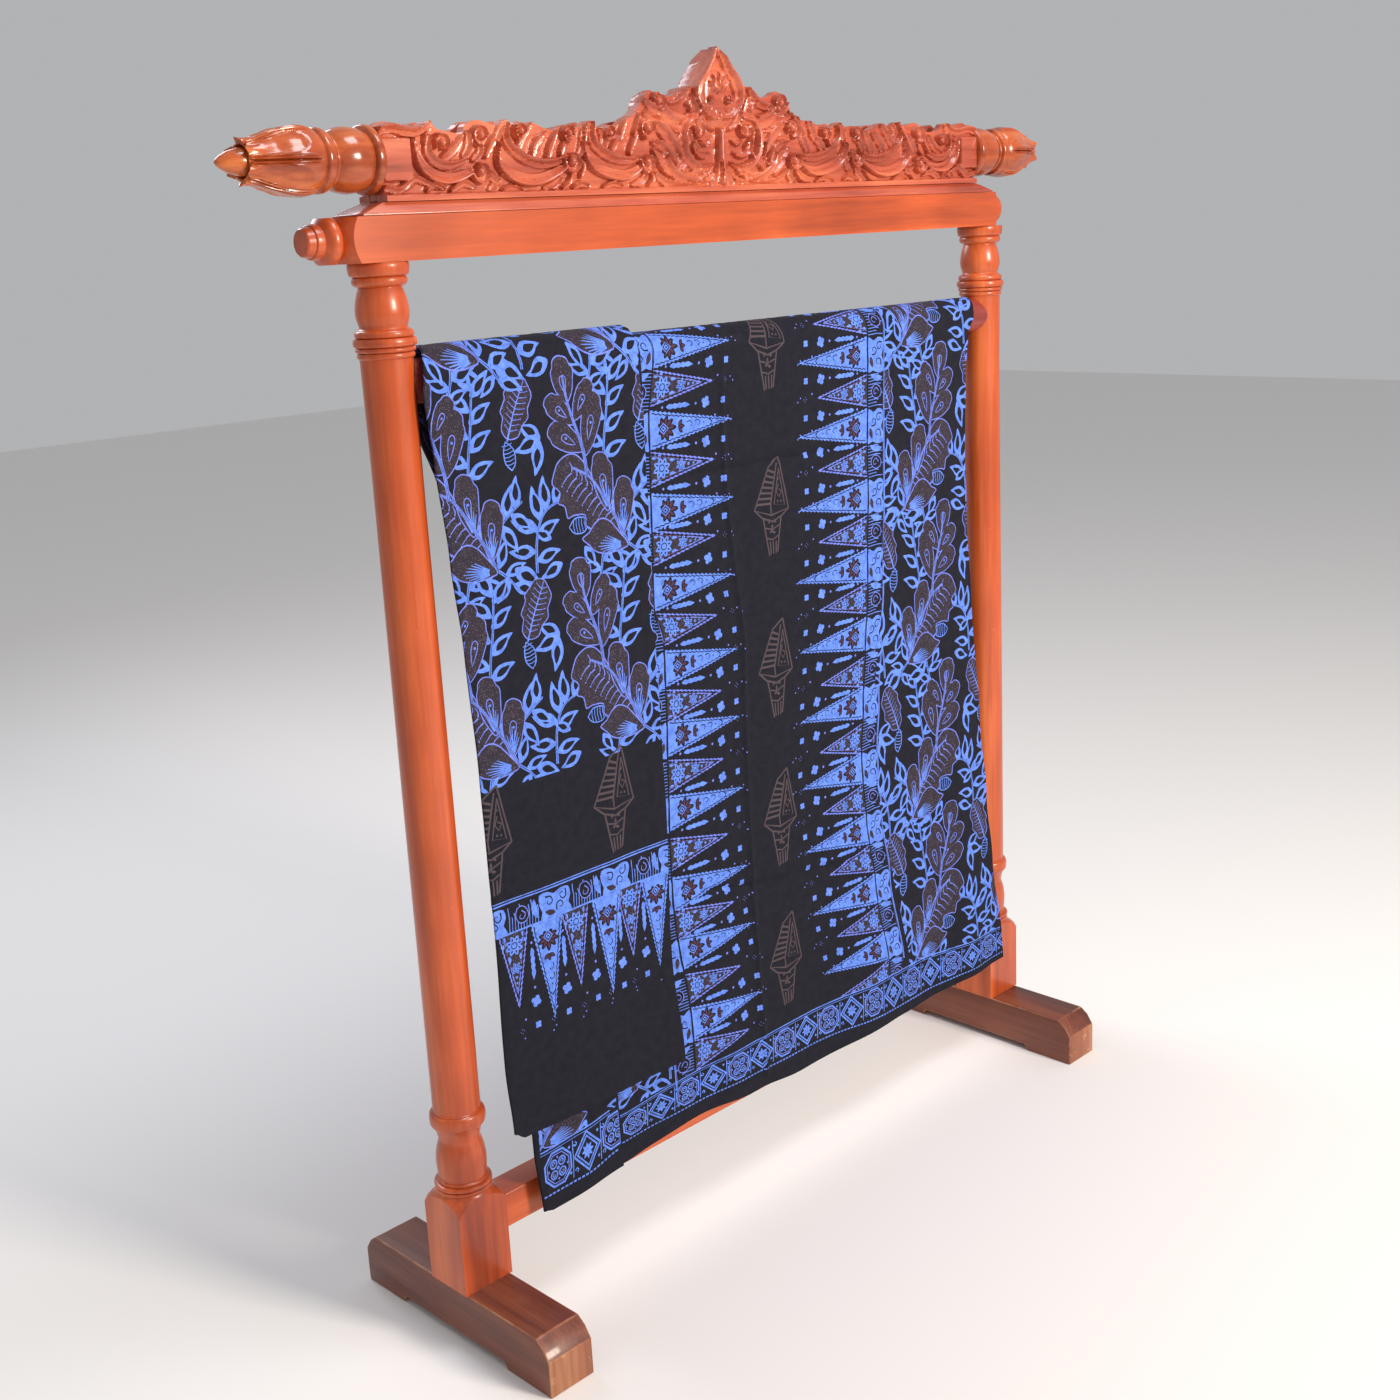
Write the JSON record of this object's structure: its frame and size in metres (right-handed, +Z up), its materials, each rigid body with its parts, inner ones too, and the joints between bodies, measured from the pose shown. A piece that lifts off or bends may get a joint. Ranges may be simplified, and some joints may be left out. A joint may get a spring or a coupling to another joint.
{
  "type": "stamped batik cloth hung on a carved wooden cloth stand",
  "caption": "Long stamped batik cloth, folded and draped over the round rod of a wooden stand with turned posts, plain feet, a stretcher, an upper rail and a carved crest with finials.",
  "frame": {"origin": "on the floor, in the middle of the overall length and depth of the stand", "axes": "+Z up, X along the stand, the printed front of the cloth faces -Y"},
  "size_m": [1.5586, 0.4096, 1.7],
  "materials": {
    "dyed_cotton": "matt woven cotton, wax-resist dyed in near-black and blue",
    "lacquered_hardwood": "clear glossy lacquer over red-brown stained hardwood",
    "dark_rod_wood": "satin dark red stain"
  },
  "bodies": {
    "root": {"cloth_wide_leaf": "dyed_cotton", "cloth_over_leaf": "dyed_cotton", "cloth_rod": "dark_rod_wood", "post_left": "lacquered_hardwood", "post_right": "lacquered_hardwood", "foot_left": "lacquered_hardwood", "foot_right": "lacquered_hardwood", "stretcher": "lacquered_hardwood", "upper_rail": "lacquered_hardwood", "crest_plate": "lacquered_hardwood", "crest_core": "lacquered_hardwood", "crest_board_front": "lacquered_hardwood", "crest_board_back": "lacquered_hardwood", "finial_left": "lacquered_hardwood", "finial_right": "lacquered_hardwood"}
  },
  "joints": []
}
